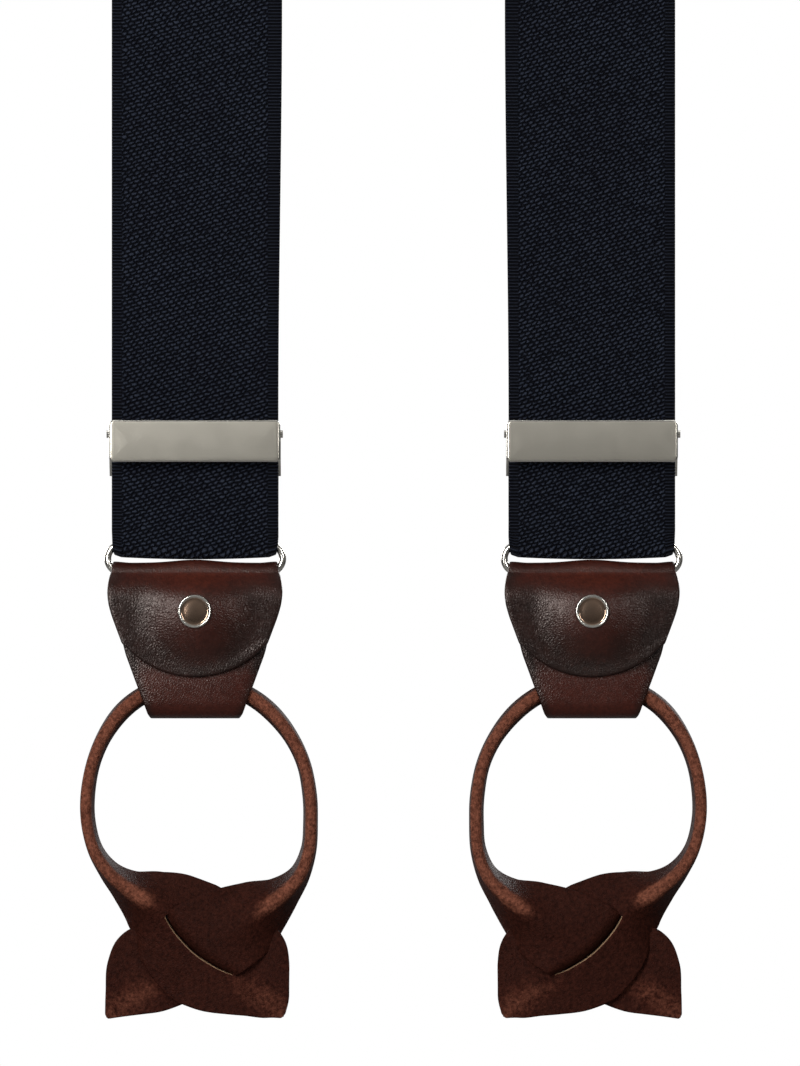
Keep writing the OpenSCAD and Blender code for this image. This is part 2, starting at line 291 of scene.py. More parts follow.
def bevel(obj, width):
    """Cuts a small flat along the object's sharp edges."""
    mod = obj.modifiers.new("Bevel", "BEVEL")
    mod.width = width * MM
    mod.segments = 1
    mod.limit_method = "ANGLE"
    mod.angle_limit = math.radians(35)
    mod.harden_normals = False
    return apply_modifiers(obj)


def apply_modifiers(obj):
    """Puts the result of the object's modifiers into its own mesh."""
    graph = bpy.context.evaluated_depsgraph_get()
    made = bpy.data.meshes.new_from_object(obj.evaluated_get(graph))
    old = obj.data
    obj.modifiers.clear()
    obj.data = made
    bpy.data.meshes.remove(old)
    return obj


def dress(obj, body, slot, *nodes):
    """Ride and replaced nodes in one line; slot is not used."""
    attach(obj, body)
    if nodes:
        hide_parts(*nodes)
    return obj


# ---- materials ------------------------------------------------------------------------------

class Nodes:
    """A material's node tree, with short ways to add and link nodes."""

    def __init__(self, name):
        self.material = bpy.data.materials.new(name)
        self.material.use_nodes = True
        self.tree = self.material.node_tree
        self.shader = self.tree.nodes["Principled BSDF"]

    def add(self, kind, **settings):
        made = self.tree.nodes.new(kind)
        for key, value in settings.items():
            setattr(made, key, value)
        return made

    def link(self, a, b):
        self.tree.links.new(a, b)

    def feed(self, socket, value):
        if isinstance(value, (int, float)):
            socket.default_value = value
        else:
            self.link(value, socket)

    def math(self, operation, a, b=0.0, clamp=False):
        made = self.add("ShaderNodeMath", operation=operation, use_clamp=clamp)
        self.feed(made.inputs[0], a)
        self.feed(made.inputs[1], b)
        return made.outputs[0]

    def swing(self, value, middle, amount):
        """How far a value lies from its middle, times an amount."""
        return self.math("MULTIPLY", self.math("SUBTRACT", value, middle), amount)

    def place(self):
        return self.add("ShaderNodeTexCoord").outputs["Object"]

    def noise(self, scale, detail=3.0, rough=0.5, vector=None):
        made = self.add("ShaderNodeTexNoise")
        made.inputs["Scale"].default_value = scale
        made.inputs["Detail"].default_value = detail
        made.inputs["Roughness"].default_value = rough
        self.link(vector or self.place(), made.inputs["Vector"])
        return made.outputs["Fac"]

    def field(self, name):
        return self.add("ShaderNodeAttribute", attribute_name=name).outputs["Fac"]

    def ramp(self, value, stops):
        made = self.add("ShaderNodeValToRGB")
        self.link(value, made.inputs["Fac"])
        ramp = made.color_ramp
        ramp.elements[0].position, ramp.elements[0].color = stops[0][0], (*stops[0][1], 1)
        ramp.elements[1].position, ramp.elements[1].color = stops[-1][0], (*stops[-1][1], 1)
        for at, color in stops[1:-1]:
            ramp.elements.new(at).color = (*color, 1)
        return made.outputs["Color"]

    def mix(self, factor, a, b):
        made = self.add("ShaderNodeMix", data_type="RGBA")
        self.feed(made.inputs["Factor"], factor)
        for socket, value in ((made.inputs["A"], a), (made.inputs["B"], b)):
            if isinstance(value, tuple):
                socket.default_value = (*value, 1)
            else:
                self.link(value, socket)
        return made.outputs["Result"]

    def bump(self, height, distance, strength):
        made = self.add("ShaderNodeBump")
        made.inputs["Strength"].default_value = strength
        made.inputs["Distance"].default_value = distance
        self.link(height, made.inputs["Height"])
        return made.outputs["Normal"]

    def set(self, **values):
        for key, value in values.items():
            self.shader.inputs[key.replace("_", " ")].default_value = value

    def use(self, name, output):
        self.link(output, self.shader.inputs[name])


def webbing_material(name, lean):
    """Elastic webbing: rows of short slanting floats with plain ribbed edges. lean is the slant's side."""
    pitch, row_h = 1.3, 0.85
    ribbed_from = 15.5  # from the strap's middle
    n = Nodes(name)
    split = n.add("ShaderNodeSeparateXYZ")
    n.link(n.place(), split.inputs[0])
    across = n.math("ADD", n.math("MULTIPLY", split.outputs[0], 1000.0), n.field("across_shift"))
    along = n.math("ADD", n.math("MULTIPLY", split.outputs[2], 1000.0), n.field("along_shift"))
    sway = n.swing(n.noise(900.0, 1.0), 0.5, 0.85)
    v = n.math("ADD", n.math("DIVIDE", along, row_h), n.math("MULTIPLY", across, lean * 0.30 / row_h))
    v = n.math("ADD", v, sway)
    row = n.math("FLOOR", v)
    fv = n.math("FRACT", v)
    u = n.math("ADD", n.math("DIVIDE", across, pitch), n.math("MULTIPLY", row, lean * 0.5))
    u = n.math("ADD", u, sway)
    fu = n.math("FRACT", u)
    hump_u = n.math("POWER", n.math("SINE", n.math("MULTIPLY", fu, math.pi)), 0.6)
    hump_v = n.math("POWER", n.math("SINE", n.math("MULTIPLY", fv, math.pi)), 0.8)
    floats = n.math("MULTIPLY", hump_u, hump_v)
    uneven = n.math("ADD", n.math("MULTIPLY", n.noise(650.0, 2.0), 0.9), 0.5)
    floats = n.math("MULTIPLY", floats, uneven)
    edge = n.math("SUBTRACT", n.math("ABSOLUTE", across), ribbed_from)
    edge = n.math("MULTIPLY", edge, 3.0, clamp=True)
    ribs = n.math("MULTIPLY", n.math("ADD", n.math("SINE", n.math("MULTIPLY", along, 9.0)), 1.0), 0.35)
    floats = n.math("MULTIPLY", floats, n.math("SUBTRACT", 1.0, edge))
    height = n.math("ADD", floats, n.math("MULTIPLY", ribs, edge))
    fibre = n.noise(5200.0, 2.0, 0.6)
    height = n.math("ADD", height, n.math("MULTIPLY", fibre, 0.25))
    # painted highlight and shade: the colour runs from near black in the weave's hollows to bright on the
    # floats' tops, by the same height that drives the bump
    color = n.ramp(height, [(0.15, (0.0006, 0.0007, 0.0014)), (0.60, (0.0050, 0.0062, 0.0110)),
                            (1.0, (0.0300, 0.0370, 0.0560))])
    tone = n.noise(60.0, 3.0)
    color = n.mix(n.math("MULTIPLY", tone, 0.35), color, (0.0040, 0.0028, 0.0056))
    n.use("Base Color", color)
    n.use("Normal", n.bump(height, 0.0007, 1.0))
    n.set(Roughness=0.55, Sheen_Weight=0.02, Sheen_Roughness=0.4, Specular_IOR_Level=0.08)
    n.shader.inputs["Sheen Tint"].default_value = (0.35, 0.42, 0.62, 1)
    return n.material


def leather_material(name, dark, middle, warm, rough, gloss, grain, mottle):
    """Burnished leather: darker towards the darkening field, which holds both its own darker parts
    and painted shade, paler towards 'wear'. grain is the height of its pores and wrinkles, and mottle
    how much its colour varies from speck to speck."""
    n = Nodes(name)
    cloud = n.noise(140.0, 5.0, 0.6)
    fine = n.noise(1300.0, 5.0, 0.75)
    scuff = n.noise(420.0, 6.0, 0.7)
    # the darkening field holds painted shade as well as the leather's own darker parts
    burn_and_shade = n.math("ADD", n.field("burn_and_shade"), n.swing(cloud, 0.5, 0.7), clamp=True)
    wear = n.math("ADD", n.field("wear"), n.swing(fine, 0.55, 0.9))
    wear = n.math("ADD", wear, n.swing(scuff, 0.55, 1.6))
    most = n.math("MULTIPLY", n.field("wear"), 1.6, clamp=True)
    wear = n.math("MULTIPLY", wear, most, clamp=True)
    color = n.mix(burn_and_shade, middle, dark)
    color = n.mix(wear, color, warm)
    speck = n.ramp(fine, [(0.36, (0.35, 0.32, 0.32)), (0.64, (1.60, 1.58, 1.55))])
    tint = n.add("ShaderNodeMix", data_type="RGBA", blend_type="MULTIPLY")
    tint.inputs["Factor"].default_value = mottle
    n.link(color, tint.inputs["A"])
    n.link(speck, tint.inputs["B"])
    n.use("Base Color", tint.outputs["Result"])
    cells = n.add("ShaderNodeTexVoronoi", feature="DISTANCE_TO_EDGE")
    cells.inputs["Scale"].default_value = 1900.0
    n.link(n.place(), cells.inputs["Vector"])
    pores = n.math("MULTIPLY", cells.outputs["Distance"], 2.2, clamp=True)
    wrinkle = n.noise(420.0, 6.0, 0.65)
    height = n.math("ADD", n.math("MULTIPLY", pores, 0.45), n.math("MULTIPLY", wrinkle, 0.6))
    n.use("Normal", n.bump(height, 0.00018 * grain, 0.8))
    rough_map = n.math("ADD", n.math("MULTIPLY", n.field("wear"), 0.35), n.math("MULTIPLY", fine, 0.16))
    n.use("Roughness", n.math("ADD", rough_map, rough))
    n.set(Specular_IOR_Level=gloss)
    n.shader.inputs["Specular Tint"].default_value = (1.0, 0.86, 0.80, 1)
    return n.material


def metal_material(name, color, rough, brushed=False, low=None):
    """Metal that varies softly between color and low, which is a little darker unless it is given."""
    n = Nodes(name)
    haze = n.noise(260.0, 4.0, 0.6)
    if brushed:
        stretch = n.add("ShaderNodeMapping")
        stretch.inputs["Scale"].default_value = (0.02, 1.0, 1.0)
        n.link(n.place(), stretch.inputs["Vector"])
        lines = n.noise(6500.0, 3.0, 0.6, stretch.outputs["Vector"])
        n.use("Normal", n.bump(lines, 0.00003, 0.35))
    low = low or tuple(0.9 * c for c in color)
    n.use("Base Color", n.mix(haze, color, low))
    n.use("Roughness", n.math("ADD", n.math("MULTIPLY", haze, 0.06), rough))
    n.set(Metallic=1.0)
    return n.material


def thread_material():
    n = Nodes("thread")
    twist = n.add("ShaderNodeTexWave", bands_direction="DIAGONAL")
    twist.inputs["Scale"].default_value = 1400.0
    n.link(n.place(), twist.inputs["Vector"])
    colors = [(0.0, (0.008, 0.009, 0.016)), (1.0, (0.030, 0.034, 0.052))]
    n.use("Base Color", n.ramp(twist.outputs["Fac"], colors))
    n.use("Normal", n.bump(twist.outputs["Fac"], 0.00006, 0.6))
    n.set(Roughness=0.7, Sheen_Weight=0.2)
    return n.material


def cut_edge_material():
    """The raw edge that a cut leaves in leather."""
    n = Nodes("cut_edge")
    fibre = n.noise(3500.0, 4.0, 0.7)
    n.use("Base Color", n.ramp(fibre, [(0.3, (0.16, 0.085, 0.045)), (0.7, (0.42, 0.27, 0.15))]))
    n.use("Normal", n.bump(fibre, 0.00008, 0.6))
    n.set(Roughness=0.8)
    return n.material


WEAVE = {"left": webbing_material("webbing_left", 1.0), "right": webbing_material("webbing_right", -1.0)}
WEAVE["back"] = WEAVE["right"]
LEATHER = leather_material("leather", dark=(0.0085, 0.0040, 0.0032), middle=(0.044, 0.0080, 0.0045),
                           warm=(0.074, 0.0150, 0.0075), rough=0.20, gloss=0.30, grain=0.58, mottle=0.40)
RUNNER = leather_material("runner_leather", dark=(0.0190, 0.0056, 0.0038), middle=(0.040, 0.0105, 0.0064),
                          warm=(0.160, 0.056, 0.034), rough=0.45, gloss=0.035, grain=1.5, mottle=0.75)
NICKEL = metal_material("nickel", (0.80, 0.77, 0.70), 0.18)
SATIN = metal_material("satin_nickel", (0.60, 0.565, 0.485), 0.27, brushed=True)
# painted reflection: a warm brown mixed with near black, standing in for the leather and the dark that the
# cap's dished centre mirrors
NICKEL_PAINTED_REFLECTION = metal_material("nickel_painted_reflection", (0.78, 0.50, 0.34), 0.12, low=(0.20, 0.16, 0.13))
THREAD = thread_material()
CUT_EDGE = cut_edge_material()


# ---- webbing --------------------------------------------------------------------------------

def webbing_grid(path, half_left, half_right, cols=30):
    """A strip's grid from centre points (x, y, z) and its two half-widths, and each point's reach."""
    path = np.asarray(path, float)
    heading = unit(np.gradient(path, axis=0))
    side = np.stack([np.abs(heading[:, 2]), np.zeros(len(path)), -heading[:, 0] * np.sign(heading[:, 2])],
                    axis=1)
    level = np.linalg.norm(side, axis=1) < 0.2
    side[level] = (1, 0, 0)
    side = unit(side)
    u = np.linspace(-1, 1, cols)
    reach = np.where(u[None, :] < 0, half_left[:, None] * u[None, :], half_right[:, None] * u[None, :])
    return path[:, None, :] + side[:, None, :] * reach[:, :, None], reach


def fold_lift(grid):
    """The turn round the ring's bar bows: lowest in the middle, and rounded up at its corners."""
    u = np.linspace(-1, 1, grid.shape[1])[None, :]
    share = smooth((6.0 - grid[:, :, 2]) / 5.0)
    grid[:, :, 2] += share * (0.5 * u ** 2 + 0.35 * smooth((np.abs(u) - 0.93) / 0.07) ** 2)
    return grid


def neck_half(p):
    """The webbing's half-width at a centre point. Its corners round off at the ring's bar."""
    if p[2] < 3.2:
        return WEB_HALF - 0.05 - 0.7 * (1 - math.sqrt(max(0.0, 1 - ((3.2 - p[2]) / 2.9) ** 2)))
    return WEB_HALF


def add_webbing(name, end, path, half_left, half_right):
    """One strip of webbing. The shifts hold the weave to the strip's own width and length."""
    path, s = resample(path, ROW_STEP)
    left = np.array([half_left(p) for p in path])
    right = np.array([half_right(p) for p in path])
    grid, reach = webbing_grid(path, left, right)
    grid = fold_lift(grid)
    world = to_world(end, grid) / MM
    drop = s - s[-1]
    fields = {"across_shift": reach - world[:, :, 0],
              "along_shift": np.broadcast_to(drop[:, None], reach.shape) - world[:, :, 2]}
    return shell(name, end, grid, WEB_T, WEAVE[end], WEB_EDGE, fields), s[-1]


def fold_path(top_z):
    """Down the front layer, round the ring's bar with a little slack, in (y, z)."""
    turn = [(LAYER_Y * math.cos(a), 2.2 + 1.75 * math.sin(a)) for a in np.radians(np.linspace(180, 360, 15))]
    return [(-LAYER_Y, top_z)] + turn


def front_strap(end):
    """From the back patch over the shoulder, down the front and round the ring, as one length."""
    middle = ring_middle(end) / MM
    shoulder_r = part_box(f"strap_{end}")[1].y / MM - WEB_T / 2
    join_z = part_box("back_patch")[0].z / MM + 34
    fall = join_z + shoulder_r
    inward = -LEAN * fall
    route = [(inward, shoulder_r, join_z)]
    for t in np.linspace(0.98, 0.02, 24):
        share = (t - EASE * (1 - math.exp(-t / EASE))) / (1 - EASE)
        route.append((inward * share, shoulder_r, fall * t - shoulder_r))
    for a in np.radians(np.linspace(0, 180, 40)):
        route.append((0, shoulder_r * math.cos(a), shoulder_r * (math.sin(a) - 1) + WEB_T / 2))
    local = [(x, y - middle.y, z - middle.z) for x, y, z in route]
    local += [(0, y, z) for y, z in fold_path(95.0)]
    local += [(0, LAYER_Y, 4.4)]

    def inner_half(p):
        """In front, the strap spreads a little on its inner side, some way above the adjuster."""
        if p[1] > 10:
            return neck_half(p)
        return neck_half(p) + 0.8 * smooth((p[2] - 30) / 90) * (1 - smooth((p[2] - 150) / 120))

    obj, length = add_webbing(f"webbing_{end}", end, local, neck_half, inner_half)
    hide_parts(f"strap_{end}", f"strap_lower_{end}", f"webbing_fold_{end}")
    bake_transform(obj)


def return_strap(end):
    """From the fold up behind to the adjuster, round its lower bar and down again."""
    bar_y, bar_z, turn_r = 1.3, 18.5, 1.35
    path = [(LAYER_Y, 4.4), (1.2, 6.0), (0.3, 8.2), (-0.05, 10.5)]
    path += [tuple(p) for p in arc_points((bar_y, bar_z), turn_r, 180, 0, 16)]
    path += [(2.3, 16.8), (1.35, 14.8), (1.2, 13.2), (1.2, 9.0)]
    fine, _ = resample([(0, y, z) for y, z in path], 0.8)
    obj, length = add_webbing(f"webbing_return_{end}", end, fine, lambda p: WEB_HALF, lambda p: WEB_HALF)
    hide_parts(f"webbing_return_{end}", f"webbing_end_{end}")
    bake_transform(obj)


def back_strap():
    """From inside the patch down round the back ring and up again, sewn to itself."""
    top = (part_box("back_strap")[1] - ring_middle("back")).z / MM
    path = [(0, y, z) for y, z in fold_path(top)]
    path += [(0, LAYER_Y, 5.0), (0, 0.9, 8.5), (0, 0.1, 12.0), (0, -0.2, 15.0), (0, -0.2, 30.0)]
    obj, length = add_webbing("webbing_back", "back", path, neck_half, neck_half)
    dress(obj, "root", "webbing", "back_strap")


def stitch_row(points, length, radius):
    """Vertices and faces of small stitches, each a flattened capsule, along (centre, direction, up)."""
    rings = ((-1.0, 0.35), (-0.8, 0.85), (-0.3, 1.0), (0.3, 1.0), (0.8, 0.85), (1.0, 0.35))
    verts, faces = [], []
    for centre, direction, up in points:
        side = np.cross(direction, up)
        start = len(verts)
        for t, r in rings:
            for a in np.linspace(0, 2 * math.pi, 8, endpoint=False):
                ring = side * math.cos(a) * radius * r + up * math.sin(a) * radius * 0.8 * r
                verts.append(centre + direction * t * length / 2 + ring)
        faces += band(len(rings), 8, start, capped=True)
    return verts, faces


def bar_tack(name, end, y, rows, body, node):
    x_axis, up = np.array([1.0, 0, 0]), np.array([0, 1.0, 0])
    spots = [(np.array([i * 3.2, y, z]), x_axis, up) for z in rows for i in range(-4, 5)]
    verts, faces = stitch_row(spots, 2.6, 0.34)
    dress(mesh_object(name, to_world(end, verts), faces, THREAD), body, "thread", node)


# ---- adjuster -------------------------------------------------------------------------------

def rounded_rectangle(half_x, low, high, corner, steps=6):
    points = []
    for cx, cz, start in ((half_x - corner, high - corner, 90), (half_x - corner, low + corner, 0),
                          (-half_x + corner, low + corner, -90), (-half_x + corner, high - corner, -180)):
        for a in np.radians(np.linspace(start, start - 90, steps)):
            points.append((cx + corner * math.cos(a), cz + corner * math.sin(a)))
    return points


def lever(end):
    """The satin front plate with bright bevelled edges, its knuckle and toothed flange."""
    low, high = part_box(f"adjuster_lever_{end}")
    middle = ring_middle(end)
    half_x = (high.x - low.x) / 2 / MM
    z0, z1 = (low.z - middle.z) / MM, (high.z - middle.z) / MM
    front, back = (low.y - middle.y) / MM, (low.y - middle.y) / MM + 0.9
    mid_z = (z0 + z1) / 2
    rings = [(0.0, 0.9, 0.0), (0.0, 0.44, 0.0), (0.10, 0.24, 0.3), (0.32, 0.08, 0.7), (0.5, 0.04, 1.0)]
    rings += [(inset, 0.04, 1.0) for inset in (1.1, 1.8, 2.6, 3.4, 4.0, 4.3)]
    verts = []
    for inset, sink, bend in rings:
        outline = rounded_rectangle(half_x - inset, z0 + inset, z1 - inset, max(1.1 - inset, 0.05))
        # the plate is a little cambered: its top and bottom lie further back
        verts += [(x, front + sink + bend * 0.12 * ((z - mid_z) / (z1 - mid_z)) ** 2, z) for x, z in outline]
    faces = band(len(rings), len(outline), capped=True)
    plate = mesh_object(f"adjuster_plate_{end}", to_world(end, verts), faces, SATIN)
    plate.data.materials.append(NICKEL)
    for face in plate.data.polygons:
        face.material_index = 0 if abs(face.normal.y) > 0.97 else 1
        face.use_smooth = len(face.vertices) == 4
    dress(plate, f"lever_{end}", "satin_nickel", f"adjuster_lever_{end}")

    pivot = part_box(f"adjuster_pin_{end}")
    pivot_y = ((pivot[0].y + pivot[1].y) / 2 - middle.y) / MM
    pivot_z = ((pivot[0].z + pivot[1].z) / 2 - middle.z) / MM
    knuckle_w = 34.4
    curl = arc_points((pivot_y, pivot_z), 0.85, -150, 170, 28)
    grid = np.array([[(x, y, z) for x in np.linspace(-knuckle_w / 2, knuckle_w / 2, 3)] for y, z in curl])
    knuckle = shell(f"adjuster_knuckle_{end}", end, grid, 0.5, SATIN, 0.12)
    dress(knuckle, f"lever_{end}", "satin_nickel")
    flange_z, flange_y = z1 - 5.6, -2.9
    flange_top = flange_z + 0.7
    verts, faces = box_data((-knuckle_w / 2, back - 0.05, flange_z), (knuckle_w / 2, flange_y, flange_top))
    for i in range(-8, 9):
        start = len(verts)
        for z in (flange_z, flange_top):
            verts += [(i * 2 - 0.6, flange_y - 0.05, z), (i * 2 + 0.6, flange_y - 0.05, z),
                      (i * 2, flange_y + 0.6, z)]
        faces += [tuple(start + k for k in f) for f in
                  ((0, 1, 2), (3, 5, 4), (0, 3, 4, 1), (1, 4, 5, 2), (2, 5, 3, 0))]
    teeth = mesh_object(f"adjuster_teeth_{end}", to_world(end, verts), faces, SATIN, smooth_faces=False)
    dress(bevel(teeth, 0.06), f"lever_{end}", "satin_nickel")


def pin_and_frame(end):
    """The CAD pieces stay, in polished nickel."""
    for node in (f"adjuster_frame_{end}", f"adjuster_pin_{end}"):
        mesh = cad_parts[node].data
        if len(mesh.materials):
            mesh.materials[0] = NICKEL
        else:
            mesh.materials.append(NICKEL)


# ---- ring and press stud --------------------------------------------------------------------

def ring(end):
    low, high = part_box(f"ring_{end}")
    bend_x = (high.x - low.x) / 2 / MM - WIRE_R - BAR_Z
    path = []
    for side, turn in ((1, 90), (-1, 270)):
        bar = np.linspace(-side * bend_x, side * bend_x, 24, endpoint=False)
        path += [(x, 0, side * BAR_Z) for x in bar]
        for a in np.radians(np.linspace(turn, turn - 180, 32, endpoint=False)):
            path.append((side * bend_x + BAR_Z * math.cos(a), 0, BAR_Z * math.sin(a)))
    wire = closed_tube(f"wire_ring_{end}", end, path, WIRE_R, NICKEL)
    dress(wire, f"ring_{end}", "nickel", f"ring_{end}")


def press_stud(end):
    """The cap and socket on the flap, and the stud and post on the tab. Profiles are (radius, y)."""
    cap = [(0.0, -7.12), (0.7, -7.11), (1.4, -7.06), (2.1, -6.98), (2.7, -6.88), (2.92, -6.92),
           (3.05, -7.15), (3.25, -7.32), (3.48, -7.24), (3.6, -6.95), (3.55, -6.6), (3.45, -6.42),
           (0.8, -6.42), (0.8, -5.1), (0.0, -5.1)]
    head = lathe(f"stud_cap_{end}", end, cap, NICKEL)
    # the cap's dished centre takes the nickel with a painted reflection
    head.data.materials.append(NICKEL_PAINTED_REFLECTION)
    middle = ring_middle(end) + Vector((0, 0, SNAP_Z * MM))
    for face in head.data.polygons:
        away = face.center - middle
        inside = math.hypot(away.x, away.z) < 2.9 * MM and abs(away.y) > 6.6 * MM
        face.material_index = 1 if inside else 0
    dress(head, f"flap_{end}", "nickel", f"snap_cap_{end}")
    socket = [(0.0, -5.08), (2.8, -5.08), (3.0, -4.95), (3.0, -4.05), (2.85, -3.87), (2.3, -3.85),
              (2.1, -4.0), (2.1, -4.75), (0.0, -4.8)]
    dress(lathe(f"stud_socket_{end}", end, socket, NICKEL), f"flap_{end}", "nickel", f"snap_socket_{end}")
    stud = [(0.0, -4.6), (0.9, -4.58), (1.3, -4.4), (1.35, -4.2), (1.15, -3.95), (1.2, -3.75),
            (2.7, -3.68), (2.9, -3.55), (2.85, -3.5), (0.0, -3.5)]
    dress(lathe(f"stud_nub_{end}", end, stud, NICKEL), f"tab_{end}", "nickel", f"snap_stud_{end}")
    post = [(0.0, -1.88), (2.2, -1.9), (2.75, -2.02), (2.9, -2.16), (2.85, -2.2), (0.8, -2.2),
            (0.8, -3.5), (0.0, -3.5)]
    dress(lathe(f"stud_post_{end}", end, post, NICKEL), f"tab_{end}", "nickel", f"snap_post_{end}")


# ---- leather tab and flap -------------------------------------------------------------------

SIDE_Z = [-40.0, -34.25, -27.0, -20.0, -15.3, -11.5, -8.5, -6.0, -3.5, -1.5, 0.5]
SIDE_X = [7.2, 9.35, 12.1, 14.7, 16.4, 17.75, 18.35, 18.35, 17.8, 17.1, 16.9]


def side_x(z):
    """Half-width of the leather at a height, with its corners eased."""
    z = np.asarray(z, float)
    return sum(np.interp(z + shift, SIDE_Z, SIDE_X) for shift in (-1.5, -0.5, 0.5, 1.5)) / 4


def flap(end):
    """Over the ring's lower bar and down the front, domed over the press stud."""
    cols, drop_rows = 45, 44
    over_r = 1.5  # the leather's middle layer round the ring's bar
    corner_z = -18.9  # the flap's lower corners
    u = np.linspace(-1, 1, cols)
    corner_x = side_x(corner_z)
    flap_r, flap_z = 20.0, -4.9
    bottom_x = u * corner_x
    bottom_z = flap_z - np.sqrt(flap_r ** 2 - bottom_x ** 2)
    grid, burn_and_shade, wear = [], [], []
    over = [(1.75, -4.1)] + [tuple(p) for p in arc_points((0, -BAR_Z), over_r, 0, 180, 18)]
    for y, z in over:
        up = np.clip((z + BAR_Z) / over_r, 0, 1)
        bulge = 0.66 * bump_at(u * 17, 6.0) * up + 0.25 * smooth((abs(u) - 0.8) / 0.2) * up
        x = u * side_x(np.full(cols, z))
        grid.append(np.stack([x, np.full(cols, y), z + bulge], axis=1))
        burn_and_shade.append(0.35 + 0.3 * abs(u) ** 3)
        wear.append(0.45 * bump_at(u, 1.1))
    for t in np.linspace(0, 1, drop_rows + 1)[1:]:
        z = -BAR_Z + t * (bottom_z + BAR_Z)
        x = u * side_x(np.maximum(z, corner_z))
        settle = 1 - np.exp(-(np.maximum(-BAR_Z - z, 0) / 2.6) ** 1.5)
        base = over_r + 2.75 * settle
        r = np.sqrt(x ** 2 + (z - SNAP_Z) ** 2)
        # a cone with rounded top and foot
        dome = sum(np.clip((11.2 + shift - r) / 7.4, 0, 1) for shift in (-1.8, -0.6, 0.6, 1.8)) / 4
        dome = 1.9 * dome * settle
        lip = 0.10 * smooth(1 - (z - bottom_z) / 3.0)
        grid.append(np.stack([x, -(base + dome + lip), z], axis=1))
        # painted shade: darker at the flap's sides and away from the press stud, lighter towards its top,
        # which faces up to the light; the dark band along its lower edge is its burnished edge
        shade = 0.45 + 0.5 * smooth((r - 4.0) / 9.0) - 0.9 * smooth((z + 9.0) / 6.5)
        shade = np.maximum(shade, 0.85 * smooth((abs(u) - 0.72) / 0.28))
        burn_and_shade.append(np.clip(shade + 0.4 * smooth(1 - (z - bottom_z) / 1.6), 0, 1))
        wear.append((0.45 * smooth((z + 10.0) / 6.0) + 0.2 * bump_at(x, 6.0)) * bump_at(u, 1.1))
    obj = shell(f"flap_leather_{end}", end, np.array(grid), HIDE_T, LEATHER, 0.45,
                {"burn_and_shade": np.array(burn_and_shade), "wear": np.array(wear)})
    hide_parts(f"flap_{end}")
    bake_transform(obj)


def tab(end):
    """The back layer, the tunnel's fold at the bottom and the under-layer in front."""
    layer, turn_z = 2.85, -30.75
    profile = [(1.75, -4.15), (2.0, -8.0), (2.4, -13.0), (layer, -20.0), (layer, -26.0)]
    profile += [tuple(p) for p in arc_points((0, turn_z), layer, 0, -180, 18)]
    profile += [(-layer, -26.0), (-layer, -14.0), (-layer, -9.0), (-2.6, -7.6), (-2.1, -6.5)]
    path, _ = resample(profile, 1.1)
    u = np.linspace(-1, 1, 37)
    grid, burn_and_shade, wear = [], [], []
    for y, z in path:
        # the corners of the bottom fold are a little rounded, and the layers crown round the runner
        half = side_x(z) - 0.5 * smooth((-32.8 - z) / 1.4) - 0.35 * smooth((z + 21) / 4)
        crown = 0.45 * bump_at(z + 27.0, 5.0) * (1 - u ** 4) * np.sign(y)
        grid.append(np.stack([u * half, y + crown, np.full(len(u), z)], axis=1))
        front = 1.0 if y < 0 else 0.6
        # painted shade: the layers darker above the flap's lower edge, the front one most, where the flap
        # shades it; both darker at their sides
        burn_and_shade.append(0.25 + 0.55 * smooth((abs(u) - 0.82) / 0.18) + 0.45 * smooth((z + 25.5) / 3.0) * front)
        wear.append(np.full(len(u), 0.10 + 0.10 * smooth((-24.0 - z) / 8.0)) * (1 - u ** 2))
    obj = shell(f"tab_leather_{end}", end, np.array(grid), HIDE_T, LEATHER, 0.35,
                {"burn_and_shade": np.array(burn_and_shade), "wear": np.array(wear)})
    dress(obj, f"tab_{end}", "leather", f"tab_{end}")


# ---- runner ---------------------------------------------------------------------------------

